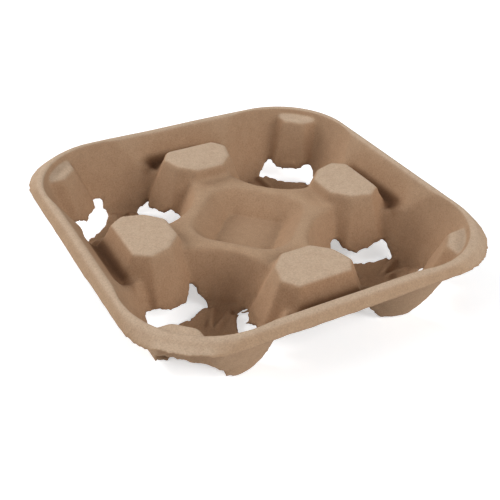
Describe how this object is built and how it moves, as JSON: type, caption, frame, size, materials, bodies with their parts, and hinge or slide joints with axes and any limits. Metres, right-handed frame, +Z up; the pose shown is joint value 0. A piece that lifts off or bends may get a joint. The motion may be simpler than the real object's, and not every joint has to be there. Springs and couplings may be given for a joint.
{
  "type": "cup carrier",
  "caption": "Square moulded-pulp tray that carries drinks cups in round wells with sprung fingers, with raised posts between the wells and a small square pocket in the middle.",
  "frame": {"origin": "under the middle of the tray, on the surface that its feet stand on", "axes": "+Z up out of the wells, X and Y along the tray's straight sides"},
  "size_m": [0.21, 0.21, 0.044],
  "materials": {
    "moulded_pulp": "matte, fibrous"
  },
  "bodies": {
    "root": {"cup_carrier": "moulded_pulp"}
  },
  "joints": []
}
